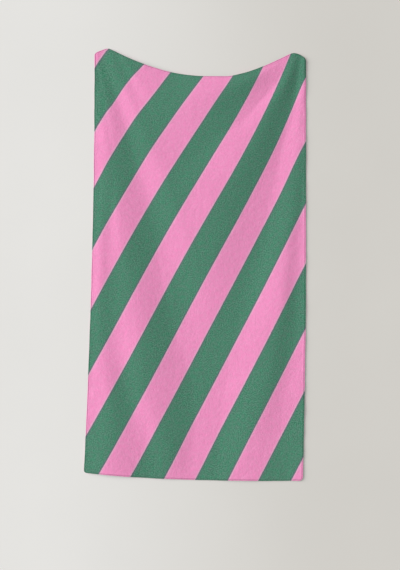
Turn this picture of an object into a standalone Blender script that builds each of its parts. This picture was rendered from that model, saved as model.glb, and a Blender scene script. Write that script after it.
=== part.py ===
"""Beach towel, laid out on a flat surface.

One panel of cotton towelling with a narrow turned hem on its four sides and wide diagonal stripes in
two colours. The upper edge sags between its two corners, as it does when the towel hangs from them, and
soft folds fan out from those corners: low ridges whose troughs lie flat on the surface.

Metres, +Z up. X runs across the towel and +Y along it, towards the sagging edge. The origin is under
the middle of the towel, on the surface. A place on the cloth is named by two shares: across, 0 at the
left side and 1 at the right, and down, 0 at the upper edge and 1 at the lower one.
"""

import math

import bmesh
import bpy

# The panel
CUT_WIDTH = 0.800
CUT_LENGTH = 1.600
THICKNESS = 0.0030

# The turned hem: its width, the slope from it down to the panel, and its thickness
HEM_WIDTH = 0.0068
HEM_SLOPE = 0.0070
HEM_THICKNESS = 0.0033

# The left side is straight down to a point, then drifts outwards
LEFT_X = -0.3680
LEFT_DRIFT = {"from_y": 0.676, "over": 1.446, "by": -0.0392, "power": 1.8}

# The right side is straight down to a point, then draws in a little
RIGHT_X = 0.406
RIGHT_DRIFT = {"from_y": -0.056, "over": 0.714, "by": -0.011, "power": 1.5}

# The upper edge: a swag, a climb from it to a peak near each corner, and a droop past each peak
SWAG_Y = 0.6897
LEFT_PEAK = {"from_x": 0.038, "x": -0.318, "rise": 0.1058, "power": 1.85, "droop": 0.020, "droop_power": 1}
RIGHT_PEAK = {"from_x": 0.115, "x": 0.353, "rise": 0.0870, "power": 1.5, "droop": 0.022, "droop_power": 2}
PEAK_SOFTNESS = 0.006

# The lower edge is straight, but for a left end that lifts
BOTTOM_Y = -0.7889
BOTTOM_LEFT_LIFT = 0.0304
BOTTOM_LIFT_POWER = 3

# Where the cloth would reach if it didn't sag, and how soon the sag dies out down the towel
UNSAGGED_Y = 0.830
SAG_POWER = 3.2

# The sag also gathers the middle of the cloth towards the right, by this share of the width
GATHER_RIGHT = 0.032

# Beside the left peak the cloth is dragged further in, by a share of the width. The drag grows over a
# share across, and dies out where the shares across and down add up to more.
LEFT_DRAG = {"by": 0.032, "grows_over": 0.06, "full_to": 0.14, "gone_at": 0.30}

# Below the right peak the right side is lifted, out to these shares of the width and the length
RIGHT_LIFT = {"by": 0.040, "across": 0.09, "down": 0.22}

# Corner radii
CORNER_RADII = {
    ("left", "top"): 0.010,
    ("right", "top"): 0.010,
    ("left", "bottom"): 0.010,
    ("right", "bottom"): 0.016,
}

# Crests and valleys of the main folds, from the towel's left to its right. From one line to the next
# the cloth rises or falls in a smooth step, and the lowest valleys lie flat on the surface. At a round
# line, of sharpness 0, the cloth is level; at a sharp one it keeps some of its slope. A line that ends
# on its way down merges with the one before it.
# Columns: name, sharpness, then stations down the towel: y, x, height of the underside
FOLD_LINES = (
    ("left edge", 0.0, (
        (0.75, -0.395, 0.0010), (0.02, -0.395, 0.0005), (-0.39, -0.410, 0.0030), (-0.79, -0.440, 0.0030))),
    ("left side crest", 0.0, (
        (0.75, -0.370, 0.0020), (0.58, -0.338, 0.0060), (0.46, -0.322, 0.0080), (0.34, -0.312, 0.0084),
        (0.18, -0.330, 0.0070), (-0.22, -0.340, 0.0080), (-0.63, -0.305, 0.0115), (-0.79, -0.325, 0.0090))),
    ("left side valley", 0.0, (
        (0.75, -0.365, 0.0020), (0.58, -0.333, 0.0057), (0.46, -0.314, 0.0079), (0.34, -0.304, 0.0082),
        (0.02, -0.320, 0.0060), (-0.22, -0.300, 0.0075), (-0.50, -0.240, 0.0065), (-0.63, -0.190, 0.0062),
        (-0.79, -0.165, 0.0024))),
    ("left long crest", 0.0, (
        (0.75, -0.355, 0.0030), (0.58, -0.320, 0.0070), (0.34, -0.292, 0.0082), (0.18, -0.280, 0.0100),
        (-0.06, -0.235, 0.0105), (-0.30, -0.200, 0.0135), (-0.50, -0.166, 0.0110), (-0.63, -0.120, 0.0092),
        (-0.79, -0.095, 0.0036))),
    ("left valley", 0.3, (
        (0.75, -0.345, 0.0030), (0.58, -0.277, 0.0038), (0.34, -0.208, 0.0030), (0.18, -0.158, 0.0015),
        (-0.02, -0.112, 0.0000), (-0.28, -0.045, 0.0000), (-0.40, -0.002, 0.0000), (-0.55, 0.010, 0.0000),
        (-0.79, 0.000, 0.0000))),
    ("left inner crest", 0.0, (
        (0.75, -0.295, 0.0075), (0.58, -0.220, 0.0100), (0.26, -0.075, 0.0100), (0.10, -0.015, 0.0080),
        (-0.06, 0.035, 0.0060), (-0.22, 0.055, 0.0020), (-0.42, 0.055, 0.0000))),
    ("swag crest", 0.0, (
        (0.76, 0.305, 0.0090), (0.72, 0.260, 0.0128), (0.68, 0.195, 0.0178), (0.64, 0.115, 0.0200),
        (0.58, 0.045, 0.0185), (0.50, 0.005, 0.0138), (0.42, -0.050, 0.0108), (0.34, -0.080, 0.0098),
        (0.26, -0.075, 0.0100))),
    ("swag valley", 0.6, (
        (0.76, 0.350, 0.0085), (0.68, 0.305, 0.0088), (0.58, 0.222, 0.0092), (0.53, 0.177, 0.0100),
        (0.46, 0.075, 0.0102), (0.38, -0.015, 0.0093), (0.26, -0.075, 0.0100))),
    ("right inner crest", 0.0, (
        (0.76, 0.362, 0.0090), (0.66, 0.322, 0.0108), (0.58, 0.272, 0.0125), (0.42, 0.190, 0.0150),
        (0.26, 0.097, 0.0140), (0.10, 0.078, 0.0098), (-0.06, 0.052, 0.0060), (-0.22, 0.060, 0.0020),
        (-0.42, 0.060, 0.0000))),
    ("right valley", 0.6, (
        (0.76, 0.386, 0.0068), (0.72, 0.380, 0.0044), (0.66, 0.372, 0.0010), (0.58, 0.356, 0.0000),
        (0.42, 0.317, 0.0005), (0.18, 0.270, 0.0000), (0.02, 0.225, 0.0000), (-0.30, 0.130, 0.0005),
        (-0.55, 0.085, 0.0000), (-0.79, 0.060, 0.0000))),
    ("right long crest", 0.0, (
        (0.76, 0.398, 0.0072), (0.66, 0.394, 0.0038), (0.42, 0.380, 0.0040), (0.18, 0.350, 0.0055),
        (0.02, 0.325, 0.0075), (-0.14, 0.310, 0.0090), (-0.30, 0.280, 0.0098), (-0.63, 0.200, 0.0078),
        (-0.79, 0.150, 0.0054))),
    ("right side valley", 0.0, (
        (0.75, 0.415, 0.0010), (0.42, 0.420, 0.0010), (0.18, 0.395, 0.0020), (-0.06, 0.380, 0.0015),
        (-0.30, 0.365, 0.0020), (-0.63, 0.325, 0.0015), (-0.79, 0.325, 0.0010))),
    ("right edge", 0.0, (
        (0.75, 0.435, 0.0010), (0.18, 0.445, 0.0020), (-0.30, 0.420, 0.0030), (-0.79, 0.385, 0.0030))),
)

# How far the cloth is pressed down, and how far apart two lines lie at least
SETTLED_DEPTH = 0.0005
LEAST_STEP = 0.001

# The stripes run along the cloth's diagonal
STRIPE_ACROSS = 0.117
FIRST_STRIPE_EDGE = 0.0335
PINK = (0.815, 0.291, 0.515)
GREEN = (0.080, 0.216, 0.150)
ROUGHNESS = 0.95

# The mesh: columns and rows inside the hem
INNER_COLUMNS = 34
INNER_ROWS = 48
HEM_LINES = (0.0, 0.5 * HEM_WIDTH, HEM_WIDTH, HEM_WIDTH + HEM_SLOPE)


def clear_scene():
    for thing in list(bpy.data.objects):
        bpy.data.objects.remove(thing, do_unlink=True)


def ease(share):
    """Smooth step from 0 to 1."""
    share = min(max(share, 0.0), 1.0)
    return share * share * (3.0 - 2.0 * share)


def soft_minimum(a, b, softness):
    return 0.5 * (a + b - math.sqrt((a - b) ** 2 + softness ** 2))


def drift(side, y):
    """How far a side has moved sideways at y."""
    share = max(0.0, (side["from_y"] - y) / side["over"])
    return side["by"] * share ** side["power"]


def upper_edge(x):
    """Height along the towel of its upper edge."""
    if x < LEFT_PEAK["from_x"]:
        peak, corner_x = LEFT_PEAK, LEFT_X
    else:
        peak, corner_x = RIGHT_PEAK, RIGHT_X
    climb = max(0.0, (x - peak["from_x"]) / (peak["x"] - peak["from_x"]))
    outside = max(0.0, (x - peak["x"]) / (corner_x - peak["x"]))
    swag = SWAG_Y + peak["rise"] * climb ** peak["power"]
    droop = SWAG_Y + peak["rise"] - peak["droop"] * outside ** peak["droop_power"]
    return soft_minimum(swag, droop, PEAK_SOFTNESS)


def lower_edge(across):
    return BOTTOM_Y + BOTTOM_LEFT_LIFT * (1.0 - across) ** BOTTOM_LIFT_POWER


def round_corner(from_side, from_end, radius):
    """Draw a square corner of the cloth in to a round one; distances in from its two edges."""
    side_share = 1.0 - from_side / radius
    end_share = 1.0 - from_end / radius
    if side_share <= 0.0 or end_share <= 0.0:
        return from_side, from_end
    new_side = side_share * math.sqrt(1.0 - 0.5 * end_share ** 2)
    new_end = end_share * math.sqrt(1.0 - 0.5 * side_share ** 2)
    return radius * (1.0 - new_side), radius * (1.0 - new_end)


def left_drag(across, down):
    """The drag beside the left peak, as a share of the width."""
    fade = (LEFT_DRAG["gone_at"] - across - down) / (LEFT_DRAG["gone_at"] - LEFT_DRAG["full_to"])
    return LEFT_DRAG["by"] * ease(across / LEFT_DRAG["grows_over"]) * ease(fade)


def right_lift(across, down):
    """How far the cloth is pulled up the towel below the right peak."""
    side_share = max(0.0, 1.0 - (1.0 - across) / RIGHT_LIFT["across"]) ** 2
    down_share = min(1.0, down / RIGHT_LIFT["down"])
    return RIGHT_LIFT["by"] * side_share * math.sin(math.pi * down_share) ** 2


def cloth_to_plan(across, down):
    """Where a place on the cloth lies, seen from above."""
    side = "left" if across < 0.5 else "right"
    end = "top" if down < 0.5 else "bottom"
    from_side = CUT_WIDTH * min(across, 1.0 - across)
    from_end = CUT_LENGTH * min(down, 1.0 - down)
    from_side, from_end = round_corner(from_side, from_end, CORNER_RADII[side, end])
    across = from_side / CUT_WIDTH if side == "left" else 1.0 - from_side / CUT_WIDTH
    down = from_end / CUT_LENGTH if end == "top" else 1.0 - from_end / CUT_LENGTH

    sag_share = (1.0 - down) ** SAG_POWER
    share = across + GATHER_RIGHT * 4.0 * across * (1.0 - across) * sag_share
    share += left_drag(across, down)
    top = upper_edge(LEFT_X + share * (RIGHT_X - LEFT_X))
    y = UNSAGGED_Y + down * (lower_edge(share) - UNSAGGED_Y) + (top - UNSAGGED_Y) * sag_share
    y += right_lift(across, down)
    left = LEFT_X + drift(LEFT_DRIFT, y)
    right = RIGHT_X + drift(RIGHT_DRIFT, y)
    return left + share * (right - left), y


def line_slope(stations, index, column):
    """How fast a line's place or height changes with y at one of its stations."""
    slopes = []
    gaps = []
    for first in (index - 1, index):
        if 0 <= first < len(stations) - 1:
            here, there = stations[first], stations[first + 1]
            gaps.append(here[0] - there[0])
            slopes.append((here[column] - there[column]) / gaps[-1])
    if len(slopes) == 1:
        return slopes[0]
    return (gaps[0] * slopes[1] + gaps[1] * slopes[0]) / (gaps[0] + gaps[1])


def along_line(stations, y):
    """A line's place across the towel and its height at y, running smoothly through its stations."""
    y = min(max(y, stations[-1][0]), stations[0][0])
    index = 0
    while y < stations[index + 1][0]:
        index += 1
    here, there = stations[index], stations[index + 1]
    gap = there[0] - here[0]
    share = (y - here[0]) / gap
    found = []
    for column in (1, 2):
        start = (1.0 + 2.0 * share) * (1.0 - share) ** 2 * here[column]
        end = share ** 2 * (3.0 - 2.0 * share) * there[column]
        leave = share * (1.0 - share) ** 2 * line_slope(stations, index, column)
        arrive = share ** 2 * (share - 1.0) * line_slope(stations, index + 1, column)
        found.append(start + end + gap * (leave + arrive))
    return found


def fold_step(share, start_sharpness, end_sharpness):
    """Step from 0 to 1 that is level at a round line and slopes at a sharp one."""
    step = ease(share)
    step += start_sharpness * share * (1.0 - share) ** 2
    return step - end_sharpness * share ** 2 * (1.0 - share)


def main_folds(x, y):
    """Height of the underside between the lines of crests and valleys that reach y."""
    lines = []
    for name, sharpness, stations in FOLD_LINES:
        if y >= stations[-1][0]:
            lines.append((*along_line(stations, y), sharpness))
    left, height = lines[0][:2]
    for here, there in zip(lines, lines[1:]):
        right = max(left + LEAST_STEP, there[0])
        share = min(max((x - left) / (right - left), 0.0), 1.0)
        height += (there[1] - here[1]) * fold_step(share, here[2], there[2])
        left = right
    return height


def relief(x, y):
    """Height of the underside, pressed flat where it would nearly touch the surface."""
    return max(0.0, main_folds(x, y) - SETTLED_DEPTH)


def grid_lines(size, inner_count):
    """Shares of a side at which grid lines lie: close together in the hem, even inside it."""
    hem = [distance / size for distance in HEM_LINES]
    first = hem[-1]
    step = (1.0 - 2.0 * first) / inner_count
    inner = [first + step * index for index in range(1, inner_count)]
    return hem + inner + [1.0 - share for share in reversed(hem)]


def towel_mesh():
    """The underside as a grid; its thickness comes from a modifier."""
    columns = grid_lines(CUT_WIDTH, INNER_COLUMNS)
    rows = grid_lines(CUT_LENGTH, INNER_ROWS)
    mesh = bmesh.new()
    cloth_uv = mesh.loops.layers.uv.new("cloth")
    shares = {}
    grid = []
    for down in rows:
        line = []
        for across in columns:
            x, y = cloth_to_plan(across, down)
            vertex = mesh.verts.new((x, y, relief(x, y)))
            shares[vertex] = (across, down)
            line.append(vertex)
        grid.append(line)
    for upper, lower in zip(grid, grid[1:]):
        for index in range(len(columns) - 1):
            face = mesh.faces.new((lower[index], lower[index + 1], upper[index + 1], upper[index]))
            for corner in face.loops:
                across, down = shares[corner.vert]
                corner[cloth_uv].uv = (across, 1.0 - down)
    data = bpy.data.meshes.new("towel")
    mesh.to_mesh(data)
    mesh.free()
    data.shade_smooth()
    return data, columns, rows


def stripe_material():
    """Towelling: two colours in stripes, worked out from the cloth's own coordinates."""
    material = bpy.data.materials.new("towelling")
    material.diffuse_color = (*PINK, 1.0)
    material.use_nodes = True
    nodes = material.node_tree.nodes
    links = material.node_tree.links
    surface = nodes["Principled BSDF"]
    surface.inputs["Base Color"].default_value = (*PINK, 1.0)
    surface.inputs["Roughness"].default_value = ROUGHNESS
    surface.inputs["Metallic"].default_value = 0.0

    uv = nodes.new("ShaderNodeUVMap")
    uv.uv_map = "cloth"
    split = nodes.new("ShaderNodeSeparateXYZ")
    links.new(uv.outputs["UV"], split.inputs["Vector"])

    def maths(operation, first, second):
        node = nodes.new("ShaderNodeMath")
        node.operation = operation
        for socket, value in zip(node.inputs, (first, second)):
            if isinstance(value, float):
                socket.default_value = value
            else:
                links.new(value, socket)
        return node.outputs["Value"]

    # across + down, in stripes from the corner: two stripes make one turn of the pattern
    run = maths("ADD", maths("SUBTRACT", split.outputs["X"], split.outputs["Y"]), 1.0)
    offset = maths("SUBTRACT", run, FIRST_STRIPE_EDGE / CUT_WIDTH)
    turns = maths("MULTIPLY", offset, 0.5 * CUT_WIDTH / STRIPE_ACROSS)
    green = maths("LESS_THAN", maths("FRACT", turns, 0.0), 0.5)
    mix = nodes.new("ShaderNodeMix")
    mix.data_type = "RGBA"
    mix.inputs["A"].default_value = (*PINK, 1.0)
    mix.inputs["B"].default_value = (*GREEN, 1.0)
    links.new(green, mix.inputs["Factor"])
    links.new(mix.outputs["Result"], surface.inputs["Base Color"])
    return material


def build_towel():
    data, columns, rows = towel_mesh()
    towel = bpy.data.objects.new("towel", data)
    bpy.context.collection.objects.link(towel)
    data.materials.append(stripe_material())

    # The hem is as thick as the modifier says, the panel a share of it
    hem = towel.vertex_groups.new(name="hem")
    panel_share = THICKNESS / HEM_THICKNESS
    hem_columns = (0, 1, 2, len(columns) - 3, len(columns) - 2, len(columns) - 1)
    hem_rows = (0, 1, 2, len(rows) - 3, len(rows) - 2, len(rows) - 1)
    for index in range(len(columns) * len(rows)):
        row, column = divmod(index, len(columns))
        in_hem = row in hem_rows or column in hem_columns
        hem.add([index], 1.0 if in_hem else panel_share, "REPLACE")

    solid = towel.modifiers.new("thickness", "SOLIDIFY")
    solid.thickness = HEM_THICKNESS
    solid.offset = 1.0
    solid.vertex_group = hem.name
    solid.use_rim = True
    return towel


clear_scene()
build_towel()
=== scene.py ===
"""Looks of a beach towel that is laid out flat: striped towelling with a narrow sewn hem.

Metres, +Z up. X runs across the towel and +Y along it, towards the edge that sags between its corners.
A place on the cloth is named by two shares: across, 0 at the left side and 1 at the right, and down,
0 at the upper edge and 1 at the lower one. The outline and the main folds are those of the CAD solid.
"""

import math

import bpy
import numpy as np
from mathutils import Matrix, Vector, noise


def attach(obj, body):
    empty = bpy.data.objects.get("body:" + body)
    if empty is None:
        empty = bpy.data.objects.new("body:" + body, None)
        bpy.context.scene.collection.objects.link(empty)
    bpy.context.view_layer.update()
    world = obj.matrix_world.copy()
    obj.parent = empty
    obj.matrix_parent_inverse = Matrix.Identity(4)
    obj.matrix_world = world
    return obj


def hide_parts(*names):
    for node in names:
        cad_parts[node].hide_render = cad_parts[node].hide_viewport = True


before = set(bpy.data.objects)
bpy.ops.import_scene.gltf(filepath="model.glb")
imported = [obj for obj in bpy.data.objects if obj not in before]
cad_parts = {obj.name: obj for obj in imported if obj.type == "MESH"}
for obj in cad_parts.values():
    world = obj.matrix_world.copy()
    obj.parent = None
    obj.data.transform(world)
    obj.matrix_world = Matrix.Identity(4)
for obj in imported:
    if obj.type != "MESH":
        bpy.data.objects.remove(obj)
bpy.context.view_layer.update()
bpy.context.scene.view_settings.view_transform = "Standard"

# ---------------------------------------------------------------- the camera, the light and the floor

# The picture is 570 pixels high and shows 3.66 mm of the towel's plane in a pixel
PIXEL = 0.00366
PICTURE_HEIGHT = 570 * PIXEL
CAMERA_X = 0.0180
CAMERA_Y = -0.0723
CAMERA_DISTANCE = 4.5
SENSOR = 36.0

# A broad lamp to the left and a little up the towel, with its angles in degrees, and an even sky
KEY_ELEVATION = 32.0
KEY_AZIMUTH = 163.0
KEY_SPREAD = 50.0
KEY_STRENGTH = 4.1
KEY_COLOUR = (1.0, 0.985, 0.96)
SKY_STRENGTH = 0.30
SKY_COLOUR = (1.0, 0.99, 0.97)

# The floor's colour left and right of the towel, darker to the right as painted light falloff, between
# which places it turns, and how uneven it is
FLOOR_REACH = 6.0
FLOOR_LEFT_PAINTED_LIT = (0.780, 0.778, 0.765)
FLOOR_RIGHT_PAINTED_DIM = (0.635, 0.622, 0.592)
FLOOR_FALLOFF_TURN = (-0.60, 0.60)
FLOOR_TONES = (0.985, 1.015)

# Painted glow: the share of its brightness that the floor gives off itself, though it is no lamp,
# which lightens shadows on it
FLOOR_PAINTED_GLOW = 0.35

# ---------------------------------------------------------------- the cloth's plan, as in the CAD solid

CUT_WIDTH = 0.800
CUT_LENGTH = 1.600

LEFT_X = -0.3680
LEFT_DRIFT = {"from_y": 0.676, "over": 1.446, "by": -0.0392, "power": 1.8}
RIGHT_X = 0.406
RIGHT_DRIFT = {"from_y": -0.056, "over": 0.714, "by": -0.011, "power": 1.5}

SWAG_Y = 0.6897
LEFT_PEAK = {"from_x": 0.038, "x": -0.318, "rise": 0.1058, "power": 1.85, "droop": 0.020, "droop_power": 1}
RIGHT_PEAK = {"from_x": 0.115, "x": 0.353, "rise": 0.0870, "power": 1.5, "droop": 0.022, "droop_power": 2}
PEAK_SOFTNESS = 0.006

BOTTOM_Y = -0.7889
BOTTOM_LEFT_LIFT = 0.0304
BOTTOM_LIFT_POWER = 3

UNSAGGED_Y = 0.830
SAG_POWER = 3.2
GATHER_RIGHT = 0.032
LEFT_DRAG = {"by": 0.032, "grows_over": 0.06, "full_to": 0.14, "gone_at": 0.30}
RIGHT_LIFT = {"by": 0.040, "across": 0.09, "down": 0.22}
CORNER_RADII = {
    ("left", "top"): 0.010,
    ("right", "top"): 0.010,
    ("left", "bottom"): 0.010,
    ("right", "bottom"): 0.016,
}

# ---------------------------------------------------------------- folds

# Crests and valleys of the main folds, as in the CAD solid, from the towel's left to its right. From
# one line to the next the cloth rises or falls in a smooth step. At a round line, of sharpness 0, the
# cloth is level; at a sharp one it keeps some of its slope. A line that ends on its way down merges
# with the one before it.
# Columns: name, sharpness, then stations down the towel: y, x, height of the underside
FOLD_LINES = (
    ("left edge", 0.0, (
        (0.75, -0.395, 0.0010), (0.02, -0.395, 0.0005), (-0.39, -0.410, 0.0030), (-0.79, -0.440, 0.0030))),
    ("left side crest", 0.0, (
        (0.75, -0.370, 0.0020), (0.58, -0.338, 0.0060), (0.46, -0.322, 0.0080), (0.34, -0.312, 0.0084),
        (0.18, -0.330, 0.0070), (-0.22, -0.340, 0.0080), (-0.63, -0.305, 0.0115), (-0.79, -0.325, 0.0090))),
    ("left side valley", 0.0, (
        (0.75, -0.365, 0.0020), (0.58, -0.333, 0.0057), (0.46, -0.314, 0.0079), (0.34, -0.304, 0.0082),
        (0.02, -0.320, 0.0060), (-0.22, -0.300, 0.0075), (-0.50, -0.240, 0.0065), (-0.63, -0.190, 0.0062),
        (-0.79, -0.165, 0.0024))),
    ("left long crest", 0.0, (
        (0.75, -0.355, 0.0030), (0.58, -0.320, 0.0070), (0.34, -0.292, 0.0082), (0.18, -0.280, 0.0100),
        (-0.06, -0.235, 0.0105), (-0.30, -0.200, 0.0135), (-0.50, -0.166, 0.0110), (-0.63, -0.120, 0.0092),
        (-0.79, -0.095, 0.0036))),
    ("left valley", 0.3, (
        (0.75, -0.345, 0.0030), (0.58, -0.277, 0.0038), (0.34, -0.208, 0.0030), (0.18, -0.158, 0.0015),
        (-0.02, -0.112, 0.0000), (-0.28, -0.045, 0.0000), (-0.40, -0.002, 0.0000), (-0.55, 0.010, 0.0000),
        (-0.79, 0.000, 0.0000))),
    ("left inner crest", 0.0, (
        (0.75, -0.295, 0.0075), (0.58, -0.220, 0.0100), (0.26, -0.075, 0.0100), (0.10, -0.015, 0.0080),
        (-0.06, 0.035, 0.0060), (-0.22, 0.055, 0.0020), (-0.42, 0.055, 0.0000))),
    ("swag crest", 0.0, (
        (0.76, 0.305, 0.0090), (0.72, 0.260, 0.0128), (0.68, 0.195, 0.0178), (0.64, 0.115, 0.0200),
        (0.58, 0.045, 0.0185), (0.50, 0.005, 0.0138), (0.42, -0.050, 0.0108), (0.34, -0.080, 0.0098),
        (0.26, -0.075, 0.0100))),
    ("swag valley", 0.6, (
        (0.76, 0.350, 0.0085), (0.68, 0.305, 0.0088), (0.58, 0.222, 0.0092), (0.53, 0.177, 0.0100),
        (0.46, 0.075, 0.0102), (0.38, -0.015, 0.0093), (0.26, -0.075, 0.0100))),
    ("right inner crest", 0.0, (
        (0.76, 0.362, 0.0090), (0.66, 0.322, 0.0108), (0.58, 0.272, 0.0125), (0.42, 0.190, 0.0150),
        (0.26, 0.097, 0.0140), (0.10, 0.078, 0.0098), (-0.06, 0.052, 0.0060), (-0.22, 0.060, 0.0020),
        (-0.42, 0.060, 0.0000))),
    ("right valley", 0.6, (
        (0.76, 0.386, 0.0068), (0.72, 0.380, 0.0044), (0.66, 0.372, 0.0010), (0.58, 0.356, 0.0000),
        (0.42, 0.317, 0.0005), (0.18, 0.270, 0.0000), (0.02, 0.225, 0.0000), (-0.30, 0.130, 0.0005),
        (-0.55, 0.085, 0.0000), (-0.79, 0.060, 0.0000))),
    ("right long crest", 0.0, (
        (0.76, 0.398, 0.0072), (0.66, 0.394, 0.0038), (0.42, 0.380, 0.0040), (0.18, 0.350, 0.0055),
        (0.02, 0.325, 0.0075), (-0.14, 0.310, 0.0090), (-0.30, 0.280, 0.0098), (-0.63, 0.200, 0.0078),
        (-0.79, 0.150, 0.0054))),
    ("right side valley", 0.0, (
        (0.75, 0.415, 0.0010), (0.42, 0.420, 0.0010), (0.18, 0.395, 0.0020), (-0.06, 0.380, 0.0015),
        (-0.30, 0.365, 0.0020), (-0.63, 0.325, 0.0015), (-0.79, 0.325, 0.0010))),
    ("right edge", 0.0, (
        (0.75, 0.435, 0.0010), (0.18, 0.445, 0.0020), (-0.30, 0.420, 0.0030), (-0.79, 0.385, 0.0030))),
)

# How far the cloth is pressed down, and how far apart two lines lie at least
SETTLED_DEPTH = 0.0005
LEAST_STEP = 0.001

# Lesser creases, too fine for the solid: low ridges on top of the main folds, each along a straight
# crest that runs down the towel.
# Columns: name, start (x, y), end (x, y), half widths at the start (left, right) and at the end
# (left, right), heights (start, middle, end). Left and right are the towel's own.
CREASES = (
    ("left hold", (-0.250, 0.755), (-0.150, 0.600),
     (0.035, 0.220), (0.045, 0.250), (0.0040, 0.0035, 0.0010)),
)

# How far past its ends a crease fades out
CREASE_FADE = 0.04

# Unevenness of the whole cloth and of its edges, each read from a layer of noise of its own
SWELL_SIZE = 0.110
SWELL_HEIGHT = 0.0009
SWELL_LAYER = 3.0
EDGE_WAVE_SIZE = 0.055
EDGE_WAVE_HEIGHT = 0.0016
EDGE_WAVE_REACH = 0.030
EDGE_WAVE_LAYER = 8.0
EDGE_WANDER = 0.0008
WANDER_LAYER_X = 21.0
WANDER_LAYER_Y = 34.0

# ---------------------------------------------------------------- thickness and hem

THICKNESS = 0.0030
HEM_THICKNESS = 0.0033
HEM_ROLL = 0.0014
HEM_WIDTH = 0.0068
HEM_SLOPE = 0.0070
SEAM_FROM_EDGE = 0.0038
SEAM_HALF_WIDTH = 0.0013
SEAM_DEPTH = 0.0009

# Distances in from an edge at which the mesh has a line, and how many cells lie between the hems
HEM_LINES = (0.0, 0.0001, 0.0004, 0.0008, 0.0014, 0.0020, 0.0025, 0.0032, 0.0038, 0.0044, 0.0051,
             0.0059, 0.0068, 0.0082, 0.0096, 0.0110, 0.0124, 0.0138)
INNER_COLUMNS = 126
INNER_ROWS = 256

# ---------------------------------------------------------------- sewing

STITCH_PITCH = 0.0033
STITCH_LENGTH = 0.0030
THREAD_RADIUS = 0.00028
STITCH_SIDES = 6
STITCH_RINGS = 5

# In thread radii: how far a stitch's middle lies off the cloth's face, and how much lower its ends are
STITCH_RISE = 0.9
STITCH_DIP = 1.7

# How much thinner a stitch is at its ends
STITCH_TAPER = 0.35

# ---------------------------------------------------------------- stripes and colours

# The stripes follow the sum of the way across the cloth and half the way down it, in metres. Along
# that sum lie a stripe's width, the first stripe's edge, how far the green reaches past its edges
# (it stops short), half the blur where two colours meet, and how far that meeting wavers.
STRIPE_ACROSS = 0.117
FIRST_STRIPE_EDGE = 0.0335
GREEN_OVERLAP = -0.0020
MEETING_BLUR = 0.0010
MEETING_WAVER = 0.0014

# Thin lines where the colours meet, a dark one on the green and a pale one on the pink: how far from
# the meeting each starts to fade and has gone, and how strong it is
DARK_LINE_FADE = (0.0020, 0.0080)
DARK_LINE_STRENGTH = 0.76
PALE_LINE_FADE = (0.0020, 0.0070)
PALE_LINE_STRENGTH = 0.72

PINK_CLEAR = (0.852, 0.260, 0.527)
PINK_DULL = (0.806, 0.286, 0.530)
PINK_SPECK = (0.806, 0.322, 0.560)
GREEN_CLEAR = (0.047, 0.224, 0.136)
GREEN_DULL = (0.076, 0.201, 0.145)
GREEN_SPECK = (0.087, 0.214, 0.152)
GREEN_GRAIN = (0.052, 0.092, 0.074)
DARK_LINE = (0.125, 0.122, 0.175)
PALE_LINE = (0.660, 0.420, 0.540)
THREAD = (0.070, 0.170, 0.120)

# Painted shade along the seam and the rolled edge: how much darker the cloth is painted there, and how
# far in from the edge that starts, is full, starts to fade and has gone
SEAM_SHADE = 0.13
SEAM_SHADE_BAND = (0.0004, 0.0020, 0.0046, 0.0070)

# Noises of the materials. Columns: size in metres, detail, roughness
GRAINS = {
    "waver": (0.004, 2.0, 0.5),
    "fine": (0.0036, 2.0, 0.6),
    "coarse": (0.012, 2.0, 0.5),
    "broad": (0.20, 2.0, 0.5),
    "patch": (0.014, 2.0, 0.6),
    "speck": (0.0052, 2.0, 0.6),
    "nap": (0.009, 3.0, 0.6),
    "lie": (0.030, 2.0, 0.5),
    "thread tone": (0.0009, 2.0, 0.5),
    "thread twist": (0.0004, 2.0, 0.5),
    "floor": (0.5, 3.0, 0.5),
}

# Between which noise values a speck of the other yarn grows in
SPECK_RANGE = (0.55, 0.75)

# Tones that the noises give the cloth: the pink's fine grain, and the whole cloth's coarse and broad one
PINK_TONES = (0.94, 1.06)
COARSE_TONES = (-0.035, 0.035)
BROAD_TONES = (0.975, 1.025)

# The pile in the bump: a tuft's size, and each layer's depth and strength
TUFT_SIZE = 0.0021
LIE_BUMP = (0.0040, 0.35)
NAP_BUMP = (0.0022, 0.45)
TUFT_BUMP = (0.0009, 0.55)
THREAD_BUMP = (0.0001, 0.50)

# Where the uneven pull has drawn the stripes along: beside the long sides down the towel, and
# elsewhere across it. Each slip is full at its middle and fades out to its reach.
# Columns: name, middle (across, down), reach (across, down), slip in metres (to the right, down)
STRIPE_SLIPS = (
    ("left peak", (0.12, 0.05), (0.10, 0.12), (-0.0035, 0.0)),
    ("left corner", (0.07, 0.28), (0.20, 0.24), (0.0, 0.0100)),
    ("left edge", (0.01, 0.20), (0.06, 0.08), (0.0, 0.0080)),
    ("upper edge", (0.24, 0.06), (0.14, 0.14), (0.0050, 0.0)),
    ("right side", (0.90, 0.33), (0.16, 0.22), (0.0, 0.0080)),
    ("middle", (0.40, 0.49), (0.42, 0.34), (-0.0040, 0.0)),
    ("lower edge", (0.45, 1.00), (0.45, 0.14), (0.0050, 0.0)),
)


def ease(share):
    """Smooth step from 0 to 1."""
    share = np.clip(share, 0.0, 1.0)
    return share * share * (3.0 - 2.0 * share)


def swell(offset, reach):
    """1 at no offset, falling smoothly to 0 at the reach."""
    return np.cos(0.5 * math.pi * np.clip(offset / reach, -1.0, 1.0)) ** 2


def soft_minimum(a, b, softness):
    return 0.5 * (a + b - np.sqrt((a - b) ** 2 + softness ** 2))


def drift(side, y):
    """How far a side has moved sideways at y."""
    share = np.maximum(0.0, (side["from_y"] - y) / side["over"])
    return side["by"] * share ** side["power"]


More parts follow.
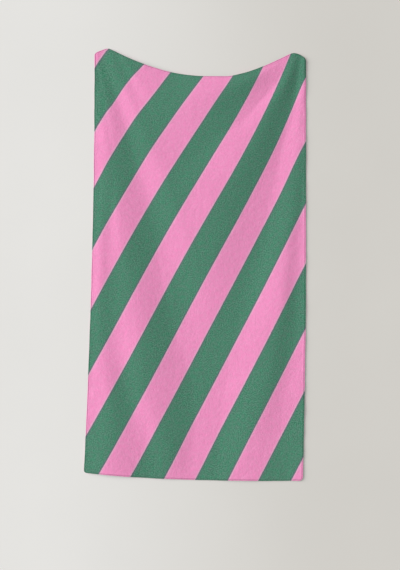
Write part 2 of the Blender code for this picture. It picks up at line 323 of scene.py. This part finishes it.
def peak_edge(x, peak, corner_x):
    """Height along the towel of its upper edge, on one peak's half."""
    climb = np.maximum(0.0, (x - peak["from_x"]) / (peak["x"] - peak["from_x"]))
    outside = np.maximum(0.0, (x - peak["x"]) / (corner_x - peak["x"]))
    swag = SWAG_Y + peak["rise"] * climb ** peak["power"]
    droop = SWAG_Y + peak["rise"] - peak["droop"] * outside ** peak["droop_power"]
    return soft_minimum(swag, droop, PEAK_SOFTNESS)


def upper_edge(x):
    left = peak_edge(x, LEFT_PEAK, LEFT_X)
    right = peak_edge(x, RIGHT_PEAK, RIGHT_X)
    return np.where(x < LEFT_PEAK["from_x"], left, right)


def lower_edge(across):
    return BOTTOM_Y + BOTTOM_LEFT_LIFT * (1.0 - across) ** BOTTOM_LIFT_POWER


def left_drag(across, down):
    """The drag beside the left peak, as a share of the width."""
    fade = (LEFT_DRAG["gone_at"] - across - down) / (LEFT_DRAG["gone_at"] - LEFT_DRAG["full_to"])
    return LEFT_DRAG["by"] * ease(across / LEFT_DRAG["grows_over"]) * ease(fade)


def right_lift(across, down):
    """How far the cloth is pulled up the towel below the right peak."""
    side_share = np.maximum(0.0, 1.0 - (1.0 - across) / RIGHT_LIFT["across"]) ** 2
    down_share = np.minimum(1.0, down / RIGHT_LIFT["down"])
    return RIGHT_LIFT["by"] * side_share * np.sin(math.pi * down_share) ** 2


def round_corners(across, down):
    """Draw the square corners of the cloth in to round ones."""
    from_side = CUT_WIDTH * np.minimum(across, 1.0 - across)
    from_end = CUT_LENGTH * np.minimum(down, 1.0 - down)
    new_side = from_side.copy()
    new_end = from_end.copy()
    for (side, end), radius in CORNER_RADII.items():
        here = (across < 0.5) == (side == "left")
        here &= (down < 0.5) == (end == "top")
        here &= (from_side < radius) & (from_end < radius)
        side_share = 1.0 - from_side / radius
        end_share = 1.0 - from_end / radius
        round_side = radius * (1.0 - side_share * np.sqrt(1.0 - 0.5 * np.clip(end_share, 0.0, 1.0) ** 2))
        round_end = radius * (1.0 - end_share * np.sqrt(1.0 - 0.5 * np.clip(side_share, 0.0, 1.0) ** 2))
        new_side = np.where(here, round_side, new_side)
        new_end = np.where(here, round_end, new_end)
    new_across = np.where(across < 0.5, new_side / CUT_WIDTH, 1.0 - new_side / CUT_WIDTH)
    new_down = np.where(down < 0.5, new_end / CUT_LENGTH, 1.0 - new_end / CUT_LENGTH)
    return new_across, new_down


def cloth_to_plan(across, down):
    """Where places on the cloth lie, seen from above."""
    across, down = round_corners(across, down)
    sag_share = (1.0 - down) ** SAG_POWER
    share = across + GATHER_RIGHT * 4.0 * across * (1.0 - across) * sag_share
    share = share + left_drag(across, down)
    top = upper_edge(LEFT_X + share * (RIGHT_X - LEFT_X))
    y = UNSAGGED_Y + down * (lower_edge(share) - UNSAGGED_Y) + (top - UNSAGGED_Y) * sag_share
    y = y + right_lift(across, down)
    left = LEFT_X + drift(LEFT_DRIFT, y)
    right = RIGHT_X + drift(RIGHT_DRIFT, y)
    return left + share * (right - left), y


def along_line(stations, y):
    """A line's place across the towel and its height at y, running smoothly through its stations."""
    ys = np.array([station[0] for station in stations])
    run = np.interp(-y, -ys, np.arange(len(ys)))
    before = np.minimum(run.astype(int), len(ys) - 2)
    share = run - before
    step = (ys[1:] - ys[:-1])[before]
    found = []
    for column in (1, 2):
        values = np.array([station[column] for station in stations])
        slopes = np.gradient(values, ys)
        start = (1.0 + 2.0 * share) * (1.0 - share) ** 2 * values[before]
        end = share ** 2 * (3.0 - 2.0 * share) * values[before + 1]
        leave = share * (1.0 - share) ** 2 * slopes[before]
        arrive = share ** 2 * (share - 1.0) * slopes[before + 1]
        found.append(start + end + step * (leave + arrive))
    return found


def fold_step(share, start_sharpness, end_sharpness):
    """Step from 0 to 1 that is level at a round line and slopes at a sharp one."""
    share = np.clip(share, 0.0, 1.0)
    step = ease(share) + start_sharpness * share * (1.0 - share) ** 2
    return step - end_sharpness * share ** 2 * (1.0 - share)


def main_folds(x, y):
    """Height of the underside between the lines of crests and valleys."""
    name, sharpness, stations = FOLD_LINES[0]
    left, height = along_line(stations, y)
    line_height = height
    for name, next_sharpness, stations in FOLD_LINES[1:]:
        place, next_height = along_line(stations, y)
        ended = y < stations[-1][0]
        right = np.where(ended, left + LEAST_STEP, np.maximum(left + LEAST_STEP, place))
        next_height = np.where(ended, line_height, next_height)
        step = fold_step((x - left) / (right - left), sharpness, next_sharpness)
        height = height + (next_height - line_height) * step
        left = np.where(ended, left, right)
        sharpness = np.where(ended, sharpness, next_sharpness)
        line_height = next_height
    return height


def crease_height(crease, x, y):
    """One crease's height over the cloth below it."""
    name, start, end, start_widths, end_widths, heights = crease
    length = math.dist(start, end)
    along_x = (end[0] - start[0]) / length
    along_y = (end[1] - start[1]) / length
    share = ((x - start[0]) * along_x + (y - start[1]) * along_y) / length
    offset = (y - start[1]) * along_x - (x - start[0]) * along_y
    inside = np.clip(share, 0.0, 1.0)
    # A crest that runs down the towel has the towel's right on its own left
    start_width = np.where(offset > 0.0, start_widths[1], start_widths[0])
    end_width = np.where(offset > 0.0, end_widths[1], end_widths[0])
    width = start_width + (end_width - start_width) * inside
    first_half = heights[0] + (heights[1] - heights[0]) * ease(2.0 * inside)
    second_half = heights[1] + (heights[2] - heights[1]) * ease(2.0 * inside - 1.0)
    crest = np.where(inside < 0.5, first_half, second_half)
    beyond = length * np.abs(share - inside)
    return crest * swell(offset, width) * ease(1.0 - beyond / CREASE_FADE)


def waves(x, y, size, layer):
    """Smooth unevenness between about -1 and 1."""
    values = [noise.noise(Vector((a / size, b / size, layer))) for a, b in zip(x.ravel(), y.ravel())]
    return np.array(values).reshape(x.shape)


def relief(x, y, from_edge):
    """Height of the underside: the folds flattened where they settle, the creases and the unevenness."""
    height = np.maximum(0.0, main_folds(x, y) - SETTLED_DEPTH)
    for crease in CREASES:
        height = height + crease_height(crease, x, y)
    height = height + SWELL_HEIGHT * waves(x, y, SWELL_SIZE, SWELL_LAYER)
    edge_share = ease(1.0 - from_edge / EDGE_WAVE_REACH)
    height = height + EDGE_WAVE_HEIGHT * edge_share * waves(x, y, EDGE_WAVE_SIZE, EDGE_WAVE_LAYER)
    return np.maximum(0.0, height)


def hem_profile(from_edge):
    """By distance from the edge: the cloth's thickness, the share of it between the faces where the
    edge is rolled, and the depth of the seam."""
    slope = ease((HEM_WIDTH + HEM_SLOPE - from_edge) / HEM_SLOPE)
    thickness = THICKNESS + (HEM_THICKNESS - THICKNESS) * slope
    roll = np.clip(1.0 - from_edge / HEM_ROLL, 0.0, 1.0)
    spread = np.sqrt(np.maximum(0.0, 1.0 - roll ** 2))
    return thickness, spread, SEAM_DEPTH * swell(from_edge - SEAM_FROM_EDGE, SEAM_HALF_WIDTH)


def cloth_faces(across, down):
    """Plan and heights of the cloth's upper and lower face."""
    from_side = CUT_WIDTH * np.minimum(across, 1.0 - across)
    from_end = CUT_LENGTH * np.minimum(down, 1.0 - down)
    from_edge = np.minimum(from_side, from_end)
    x, y = cloth_to_plan(across, down)
    thickness, spread, seam = hem_profile(from_edge)
    base = relief(x, y, from_edge)
    middle = base + 0.5 * thickness
    top = middle + 0.5 * thickness * spread - seam
    bottom = middle - 0.5 * thickness * spread + 0.5 * seam

    wander = EDGE_WANDER * ease(1.0 - from_edge / EDGE_WAVE_REACH)
    x = x + wander * waves(x, y, EDGE_WAVE_SIZE, WANDER_LAYER_X)
    y = y + wander * waves(x, y, EDGE_WAVE_SIZE, WANDER_LAYER_Y)
    return x, y, top, bottom


def stripe_place(across, down):
    """The place in the striped weave that lies at a place on the cloth."""
    weave_across = across.copy()
    weave_down = down.copy()
    for name, middle, reach, slip in STRIPE_SLIPS:
        near = swell(across - middle[0], reach[0]) * swell(down - middle[1], reach[1])
        weave_across -= near * slip[0] / CUT_WIDTH
        weave_down -= near * slip[1] / CUT_LENGTH
    return weave_across, weave_down


def grid_lines(size, inner_count):
    """Shares of a side at which the mesh has lines: close together in the hem, even inside it."""
    hem = np.array(HEM_LINES) / size
    inner = np.linspace(hem[-1], 1.0 - hem[-1], inner_count + 1)[1:-1]
    return np.concatenate([hem, inner, 1.0 - hem[::-1]])


def add_mesh(name, points, faces, material, smooth=True):
    data = bpy.data.meshes.new(name)
    data.from_pydata(points, [], faces)
    data.update()
    if smooth:
        data.shade_smooth()
    data.materials.append(material)
    thing = bpy.data.objects.new(name, data)
    bpy.context.collection.objects.link(thing)
    return thing


# ---------------------------------------------------------------- materials


class Shader:
    """A material's node tree, written as expressions."""

    def __init__(self, name):
        self.material = bpy.data.materials.new(name)
        self.material.use_nodes = True
        self.nodes = self.material.node_tree.nodes
        self.links = self.material.node_tree.links
        self.surface = self.nodes["Principled BSDF"]

    def feed(self, socket, value):
        if isinstance(value, bpy.types.NodeSocket):
            self.links.new(value, socket)
        else:
            socket.default_value = value

    def maths(self, operation, first, second=0.0):
        node = self.nodes.new("ShaderNodeMath")
        node.operation = operation
        self.feed(node.inputs[0], first)
        self.feed(node.inputs[1], second)
        return node.outputs[0]

    def smooth(self, value, low, high):
        """0 at low and 1 at high, with a smooth step between them."""
        node = self.nodes.new("ShaderNodeMapRange")
        node.interpolation_type = "SMOOTHSTEP"
        self.feed(node.inputs["Value"], value)
        node.inputs["From Min"].default_value = low
        node.inputs["From Max"].default_value = high
        return node.outputs["Result"]

    def spread(self, value, low, high, new_low, new_high):
        """The value's place between low and high, carried over to between new_low and new_high."""
        node = self.nodes.new("ShaderNodeMapRange")
        self.feed(node.inputs["Value"], value)
        numbers = {"From Min": low, "From Max": high, "To Min": new_low, "To Max": new_high}
        for socket, number in numbers.items():
            node.inputs[socket].default_value = number
        return node.outputs["Result"]

    def mix(self, factor, first, second):
        node = self.nodes.new("ShaderNodeMix")
        node.data_type = "RGBA"
        self.feed(node.inputs[0], factor)
        for socket, value in ((node.inputs[6], first), (node.inputs[7], second)):
            if isinstance(value, tuple):
                value = (*value, 1.0)
            self.feed(socket, value)
        return node.outputs[2]

    def scale_colour(self, colour, factor):
        node = self.nodes.new("ShaderNodeVectorMath")
        node.operation = "SCALE"
        self.feed(node.inputs[0], colour)
        self.feed(node.inputs["Scale"], factor)
        return node.outputs[0]

    def add_scaled(self, colour, step, factor):
        """The colour with factor times the step added."""
        node = self.nodes.new("ShaderNodeVectorMath")
        node.operation = "MULTIPLY_ADD"
        self.feed(node.inputs[0], factor)
        self.feed(node.inputs[1], step)
        self.feed(node.inputs[2], colour)
        return node.outputs[0]

    def noise(self, vector, grain):
        """Noise between 0 and 1 with the sizes that GRAINS gives."""
        size, detail, rough = GRAINS[grain]
        node = self.nodes.new("ShaderNodeTexNoise")
        self.feed(node.inputs["Vector"], vector)
        node.inputs["Scale"].default_value = 1.0 / size
        node.inputs["Detail"].default_value = detail
        node.inputs["Roughness"].default_value = rough
        return node.outputs["Fac"]

    def tufts(self, vector, size):
        """Distance from the middles of cells that lie as close as tufts do."""
        node = self.nodes.new("ShaderNodeTexVoronoi")
        self.feed(node.inputs["Vector"], vector)
        node.inputs["Scale"].default_value = 1.0 / size
        return node.outputs["Distance"]

    def bump(self, height, distance, strength, normal=None):
        node = self.nodes.new("ShaderNodeBump")
        self.feed(node.inputs["Height"], height)
        node.inputs["Distance"].default_value = distance
        node.inputs["Strength"].default_value = strength
        if normal is not None:
            self.feed(node.inputs["Normal"], normal)
        return node.outputs["Normal"]


def cloth_place(shader):
    """The place on the cloth in metres, and the sum of the two that the stripes follow."""
    uv = shader.nodes.new("ShaderNodeUVMap")
    uv.uv_map = "cloth"
    split = shader.nodes.new("ShaderNodeSeparateXYZ")
    shader.links.new(uv.outputs["UV"], split.inputs[0])
    across = shader.maths("MULTIPLY", split.outputs[0], CUT_WIDTH)
    down = shader.maths("MULTIPLY", shader.maths("SUBTRACT", 1.0, split.outputs[1]), CUT_LENGTH)
    place = shader.nodes.new("ShaderNodeCombineXYZ")
    shader.links.new(across, place.inputs[0])
    shader.links.new(down, place.inputs[1])
    diagonal = shader.maths("ADD", across, shader.maths("MULTIPLY", down, CUT_WIDTH / CUT_LENGTH))
    return place.outputs[0], diagonal


def edge_distance(shader, place):
    """How far in from the cloth's nearest edge, in metres."""
    split = shader.nodes.new("ShaderNodeSeparateXYZ")
    shader.links.new(place, split.inputs[0])
    distances = []
    for share, size in zip(split.outputs, (CUT_WIDTH, CUT_LENGTH)):
        distances.append(shader.maths("MINIMUM", share, shader.maths("SUBTRACT", size, share)))
    return shader.maths("MINIMUM", *distances)


def stripes(shader, place, diagonal, first_edge):
    """How green a place is, and the thin dark and pale lines beside the meeting of the colours."""
    waver = shader.spread(shader.noise(place, "waver"), 0.0, 1.0, -MEETING_WAVER, MEETING_WAVER)
    run = shader.maths("SUBTRACT", shader.maths("ADD", diagonal, waver), first_edge)
    # A turn is one green and one pink stripe, and the green has its first half
    turn = shader.maths("FRACT", shader.maths("DIVIDE", run, 2.0 * STRIPE_ACROSS))
    from_green = shader.maths("ABSOLUTE", shader.maths("SUBTRACT", turn, 0.25))
    from_pink = shader.maths("ABSOLUTE", shader.maths("SUBTRACT", turn, 0.75))
    inside = shader.maths("MULTIPLY", shader.maths("SUBTRACT", 0.25, from_green), 2.0 * STRIPE_ACROSS)
    outside = shader.maths("MULTIPLY", shader.maths("SUBTRACT", 0.25, from_pink), -2.0 * STRIPE_ACROSS)
    is_green = shader.maths("LESS_THAN", turn, 0.5)
    is_pink = shader.maths("SUBTRACT", 1.0, is_green)
    # 0 at a stripe's two edges and positive inside the green, in metres along the diagonal sum
    depth = shader.maths(
        "ADD", shader.maths("MULTIPLY", is_green, inside), shader.maths("MULTIPLY", is_pink, outside))
    green_share = shader.smooth(depth, GREEN_OVERLAP - MEETING_BLUR, GREEN_OVERLAP + MEETING_BLUR)

    depth = shader.maths("SUBTRACT", depth, GREEN_OVERLAP)
    fade, gone = DARK_LINE_FADE
    dark_line = shader.maths(
        "MULTIPLY", shader.smooth(depth, gone, fade), shader.smooth(depth, -MEETING_BLUR, MEETING_BLUR))
    fade, gone = PALE_LINE_FADE
    pale_line = shader.maths(
        "MULTIPLY", shader.smooth(depth, -gone, -fade), shader.smooth(depth, MEETING_BLUR, -MEETING_BLUR))
    return green_share, dark_line, pale_line


def yarns(shader, place, dark_line, pale_line):
    """The green and the pink: patches where the pile lies differently, specks and fine grain."""
    fine = shader.noise(place, "fine")
    patch = shader.spread(shader.noise(place, "patch"), 0.32, 0.68, 0.0, 1.0)
    speck = shader.smooth(shader.noise(place, "speck"), *SPECK_RANGE)

    green = shader.mix(patch, GREEN_CLEAR, GREEN_DULL)
    green = shader.mix(speck, green, GREEN_SPECK)
    green = shader.add_scaled(green, GREEN_GRAIN, shader.spread(fine, 0.30, 0.70, -1.0, 1.0))
    green = shader.mix(shader.maths("MULTIPLY", dark_line, DARK_LINE_STRENGTH), green, DARK_LINE)

    pink = shader.mix(patch, PINK_CLEAR, PINK_DULL)
    pink = shader.mix(speck, pink, PINK_SPECK)
    pink = shader.scale_colour(pink, shader.spread(fine, 0.30, 0.70, *PINK_TONES))
    pink = shader.mix(shader.maths("MULTIPLY", pale_line, PALE_LINE_STRENGTH), pink, PALE_LINE)
    return green, pink


def cloth_tone(shader, place):
    """How bright the cloth is: coarse and broad unevenness, and painted shade in a band along the seam."""
    coarse = shader.spread(shader.noise(place, "coarse"), 0.25, 0.75, *COARSE_TONES)
    broad = shader.spread(shader.noise(place, "broad"), 0.25, 0.75, *BROAD_TONES)
    from_edge = edge_distance(shader, place)
    # Painted shade: the cloth's colour is darkened in a band along the seam near every edge
    start, full, fade, gone = SEAM_SHADE_BAND
    painted_seam_shade = shader.maths(
        "MULTIPLY", shader.smooth(from_edge, start, full), shader.smooth(from_edge, gone, fade))
    shade = shader.spread(painted_seam_shade, 0.0, 1.0, 1.0, 1.0 - SEAM_SHADE)
    return shader.maths("MULTIPLY", shader.maths("ADD", coarse, broad), shade)


def pile(shader, place):
    """The sheared pile in the bump: the nap's broad lie, its patches and the single tufts."""
    normal = shader.bump(shader.noise(place, "lie"), *LIE_BUMP)
    normal = shader.bump(shader.noise(place, "nap"), *NAP_BUMP, normal)
    return shader.bump(shader.maths("SUBTRACT", 1.0, shader.tufts(place, TUFT_SIZE)), *TUFT_BUMP, normal)


def towelling(name, first_edge):
    """Towelling in two colours, striped from the first edge on."""
    shader = Shader(name)
    place, diagonal = cloth_place(shader)
    green_share, dark_line, pale_line = stripes(shader, place, diagonal, first_edge)
    green, pink = yarns(shader, place, dark_line, pale_line)
    colour = shader.scale_colour(shader.mix(green_share, pink, green), cloth_tone(shader, place))
    shader.feed(shader.surface.inputs["Base Color"], colour)
    shader.feed(shader.surface.inputs["Normal"], pile(shader, place))
    shader.surface.inputs["Roughness"].default_value = 0.95
    shader.surface.inputs["Specular IOR Level"].default_value = 0.15
    shader.surface.inputs["Sheen Weight"].default_value = 0.25
    shader.surface.inputs["Sheen Roughness"].default_value = 0.6
    return shader.material


def thread_material():
    """Spun thread: a fine twist across each stitch."""
    shader = Shader("thread")
    place = shader.nodes.new("ShaderNodeTexCoord").outputs["Object"]
    tone = shader.spread(shader.noise(place, "thread tone"), 0.3, 0.7, 0.85, 1.15)
    shader.feed(shader.surface.inputs["Base Color"], shader.scale_colour(THREAD, tone))
    twist = shader.bump(shader.noise(place, "thread twist"), *THREAD_BUMP)
    shader.feed(shader.surface.inputs["Normal"], twist)
    shader.surface.inputs["Roughness"].default_value = 0.7
    return shader.material


def floor_material():
    """Plain pale floor, faintly mottled, and a little darker to the towel's right as painted light falloff.
    """
    shader = Shader("floor")
    place = shader.nodes.new("ShaderNodeTexCoord").outputs["Object"]
    split = shader.nodes.new("ShaderNodeSeparateXYZ")
    shader.links.new(place, split.inputs[0])
    # Painted light falloff: the floor's colour turns from lighter on the left to darker on the right
    side = shader.smooth(split.outputs[0], *FLOOR_FALLOFF_TURN)
    tone = shader.spread(shader.noise(place, "floor"), 0.25, 0.75, *FLOOR_TONES)
    colour = shader.scale_colour(shader.mix(side, FLOOR_LEFT_PAINTED_LIT, FLOOR_RIGHT_PAINTED_DIM), tone)
    # Painted glow: part of the floor's brightness is given off by the floor itself, lightening shadows on
    # it
    shader.feed(shader.surface.inputs["Base Color"], shader.scale_colour(colour, 1.0 - FLOOR_PAINTED_GLOW))
    shader.feed(shader.surface.inputs["Emission Color"], colour)
    shader.surface.inputs["Emission Strength"].default_value = FLOOR_PAINTED_GLOW
    shader.surface.inputs["Roughness"].default_value = 0.9
    shader.surface.inputs["Specular IOR Level"].default_value = 0.2
    return shader.material


# ---------------------------------------------------------------- pieces


def face_points(shape):
    """Point numbers on a sheet's upper and lower face, which share the rim, and which lie inside it."""
    inner = np.zeros(shape, bool)
    inner[1:-1, 1:-1] = True
    above = np.arange(inner.size).reshape(shape)
    below = above.copy()
    below[inner] = inner.size + np.arange(int(inner.sum()))
    return above, below, inner


def quads(grid):
    """Four corners of each cell of a grid of point numbers."""
    return np.stack([grid[1:, :-1], grid[1:, 1:], grid[:-1, 1:], grid[:-1, :-1]], axis=-1).reshape(-1, 4)


def build_cloth():
    """The towel: one closed sheet of two faces that meet round its rolled edge."""
    columns = grid_lines(CUT_WIDTH, INNER_COLUMNS)
    rows = grid_lines(CUT_LENGTH, INNER_ROWS)
    across, down = np.meshgrid(columns, rows)
    x, y, top, bottom = cloth_faces(across, down)
    above, below, inner = face_points(x.shape)
    upper = np.column_stack([x.ravel(), y.ravel(), top.ravel()])
    lower = np.column_stack([x[inner], y[inner], bottom[inner]])
    points = np.concatenate([upper, lower])
    faces = np.concatenate([quads(above), quads(below)[:, ::-1]])
    front = towelling("towelling", FIRST_STRIPE_EDGE)
    cloth = add_mesh("towel_cloth", points.tolist(), faces.tolist(), front)

    # The back's stripes have the two colours exchanged
    cloth.data.materials.append(towelling("towelling_back", FIRST_STRIPE_EDGE + STRIPE_ACROSS))
    slots = np.zeros(len(faces), np.int32)
    slots[len(faces) // 2:] = 1
    cloth.data.polygons.foreach_set("material_index", slots)

    weave_across, weave_down = stripe_place(across, down)
    shares = np.column_stack([weave_across.ravel(), 1.0 - weave_down.ravel()])
    shares = np.concatenate([shares, shares[inner.ravel()]])
    uv = cloth.data.uv_layers.new(name="cloth")
    uv.data.foreach_set("uv", shares[faces.ravel()].astype(np.float32).ravel())
    return cloth


def seam_places():
    """Middles of the stitches along the four hems, with the way each one runs, in cloth shares."""
    places = []
    inset_across = SEAM_FROM_EDGE / CUT_WIDTH
    inset_down = SEAM_FROM_EDGE / CUT_LENGTH
    side_count = int((CUT_LENGTH - 2 * SEAM_FROM_EDGE) / STITCH_PITCH)
    end_count = int((CUT_WIDTH - 2 * SEAM_FROM_EDGE) / STITCH_PITCH)
    for step in range(side_count):
        down = inset_down + (1.0 - 2 * inset_down) * (step + 0.5) / side_count
        places += [(inset_across, down, 0.0, 1.0), (1.0 - inset_across, down, 0.0, 1.0)]
    for step in range(end_count):
        across = inset_across + (1.0 - 2 * inset_across) * (step + 0.5) / end_count
        places += [(across, inset_down, 1.0, 0.0), (across, 1.0 - inset_down, 1.0, 0.0)]
    return np.array(places)


def stitch_centres(places, ring_shares, on_top):
    """Middles of each stitch's rings: a short bow whose ends dip into the seam."""
    half = 0.5 * STITCH_LENGTH
    centres = []
    for share in ring_shares:
        across = places[:, 0] + share * half * places[:, 2] / CUT_WIDTH
        down = places[:, 1] + share * half * places[:, 3] / CUT_LENGTH
        x, y, top, bottom = cloth_faces(across, down)
        rise = THREAD_RADIUS * (STITCH_RISE - STITCH_DIP * share ** 2)
        height = top + rise if on_top else bottom - rise
        centres.append(np.column_stack([x, y, height]))
    return np.stack(centres, axis=1)


def build_stitches(name, on_top, material):
    """One face's lock stitches, each a short bowed thread."""
    ring_shares = np.linspace(-1.0, 1.0, STITCH_RINGS)
    centres = stitch_centres(seam_places(), ring_shares, on_top)
    along = centres[:, -1] - centres[:, 0]
    along[:, 2] = 0.0
    along /= np.linalg.norm(along, axis=1, keepdims=True)
    aside = np.column_stack([-along[:, 1], along[:, 0], np.zeros(len(along))])
    up = np.array([0.0, 0.0, 1.0])

    points = []
    faces = []
    angles = 2.0 * math.pi * np.arange(STITCH_SIDES) / STITCH_SIDES
    for stitch in range(len(centres)):
        first = len(points)
        for ring, share in enumerate(ring_shares):
            radius = THREAD_RADIUS * (1.0 - STITCH_TAPER * share ** 4)
            for angle in angles:
                offset = radius * (math.cos(angle) * aside[stitch] + math.sin(angle) * up)
                points.append((centres[stitch, ring] + offset).tolist())
        for ring in range(STITCH_RINGS - 1):
            for side in range(STITCH_SIDES):
                a = first + ring * STITCH_SIDES + side
                b = first + ring * STITCH_SIDES + (side + 1) % STITCH_SIDES
                faces.append((a, b, b + STITCH_SIDES, a + STITCH_SIDES))
        last = first + (STITCH_RINGS - 1) * STITCH_SIDES
        faces.append(tuple(range(first + STITCH_SIDES - 1, first - 1, -1)))
        faces.append(tuple(range(last, last + STITCH_SIDES)))
    return add_mesh(name, points, faces, material)


# ---------------------------------------------------------------- the stage


def build_floor():
    reach = FLOOR_REACH
    corners = [(-reach, -reach, 0.0), (reach, -reach, 0.0), (reach, reach, 0.0), (-reach, reach, 0.0)]
    floor = add_mesh("floor", corners, [(0, 1, 2, 3)], floor_material(), smooth=False)


def build_light():
    """The lamp and the sky."""
    world = bpy.data.worlds.new("soft sky")
    bpy.context.scene.world = world
    world.use_nodes = True
    sky = world.node_tree.nodes["Background"]
    sky.inputs["Color"].default_value = (*SKY_COLOUR, 1.0)
    sky.inputs["Strength"].default_value = SKY_STRENGTH

    lamp = bpy.data.lights.new("window", "SUN")
    lamp.angle = math.radians(KEY_SPREAD)
    lamp.energy = KEY_STRENGTH
    lamp.color = KEY_COLOUR
    key = bpy.data.objects.new("window", lamp)
    rise = math.radians(KEY_ELEVATION)
    turn = math.radians(KEY_AZIMUTH)
    towards = Vector((math.cos(rise) * math.cos(turn), math.cos(rise) * math.sin(turn), math.sin(rise)))
    key.rotation_euler = towards.to_track_quat("Z", "Y").to_euler()
    bpy.context.collection.objects.link(key)


def build_camera():
    """The camera looks straight down on the towel."""
    lens = bpy.data.cameras.new("camera")
    lens.sensor_width = SENSOR
    lens.lens = SENSOR * CAMERA_DISTANCE / PICTURE_HEIGHT
    camera = bpy.data.objects.new("camera", lens)
    camera.location = (CAMERA_X, CAMERA_Y, CAMERA_DISTANCE)
    bpy.context.collection.objects.link(camera)
    bpy.context.scene.camera = camera


build_floor()
build_light()
build_camera()
cloth = build_cloth()
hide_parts("towel")
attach(cloth, "root")
thread = thread_material()
for seam_name, seam_on_top in (("hem_stitches", True), ("hem_stitches_back", False)):
    seam = build_stitches(seam_name, seam_on_top, thread)
    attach(seam, "root")
